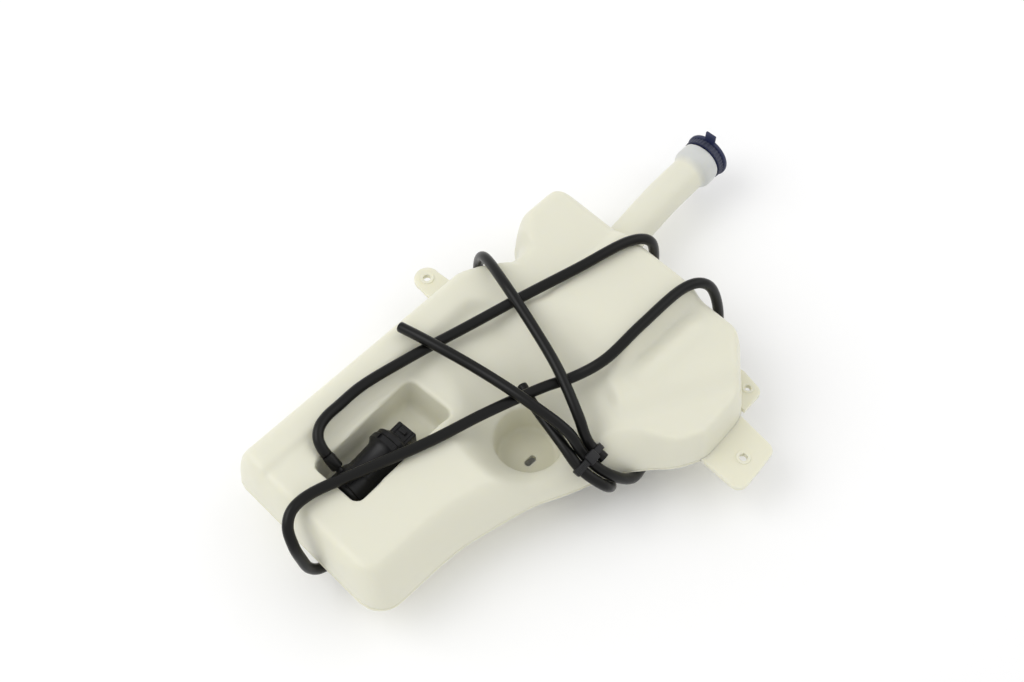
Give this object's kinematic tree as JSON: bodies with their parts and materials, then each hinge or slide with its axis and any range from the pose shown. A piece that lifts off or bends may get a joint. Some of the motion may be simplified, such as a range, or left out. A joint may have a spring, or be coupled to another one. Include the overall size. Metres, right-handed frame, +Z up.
{
  "type": "washer fluid reservoir",
  "caption": "Blow-moulded washer fluid reservoir with mounting ears, a screened electric pump in a side pocket, a capped filler neck and two supply hoses tied together across it.",
  "frame": {"origin": "bottom centre of the tank, pump and cap as they lie on their back, without the hoses and their tie", "axes": "+X along the tank's length, from the pump end towards the filler neck; +Y towards the side with the round ear; +Z up, out of the face that the hoses cross"},
  "size_m": [0.4706, 0.2962, 0.0953],
  "materials": {
    "natural_plastic": "satin",
    "dark_blue_plastic": "satin",
    "black_plastic": "satin",
    "white_plastic": "satin",
    "black_rubber": "matte",
    "steel": "ground",
    "zinc_plate": "zinc plated",
    "copper": "bare copper",
    "brass": "bare",
    "ferrite": "matte",
    "carbon": "matte"
  },
  "bodies": {
    "reservoir": {"tank": "natural_plastic", "pump_base_cover": "black_plastic", "pump_housing": "black_plastic", "connector_cap": "black_plastic", "pump_grommet": "black_rubber", "inlet_strainer": "white_plastic", "base_o_ring": "black_rubber", "shaft_seal": "black_rubber", "motor_can": "zinc_plate", "lower_bush": "brass", "upper_bush": "brass", "magnet_1": "ferrite", "magnet_2": "ferrite", "brush_holder": "white_plastic", "brush_left": "carbon", "brush_right": "carbon", "terminal_left": "brass", "terminal_right": "brass", "washer_hose": "black_rubber", "second_hose": "black_rubber", "cable_tie": "black_plastic"},
    "cap": {"filler_cap": "dark_blue_plastic", "cap_seal": "black_rubber"},
    "rotor": {"motor_shaft": "steel", "impeller": "white_plastic", "armature_core": "steel", "armature_winding": "copper", "commutator": "copper"}
  },
  "joints": [
    {"name": "cap_pull_off", "type": "slide", "parent": "reservoir", "child": "cap", "axis": [0.9991, 0.0419, 0], "range_m": [0, 0.03]},
    {"name": "rotor_spin", "type": "hinge", "parent": "reservoir", "child": "rotor", "pos_m": [-0.18789, 0.04317, 0.053], "axis": [0.9982, 0.0593, 0], "continuous": true}
  ]
}
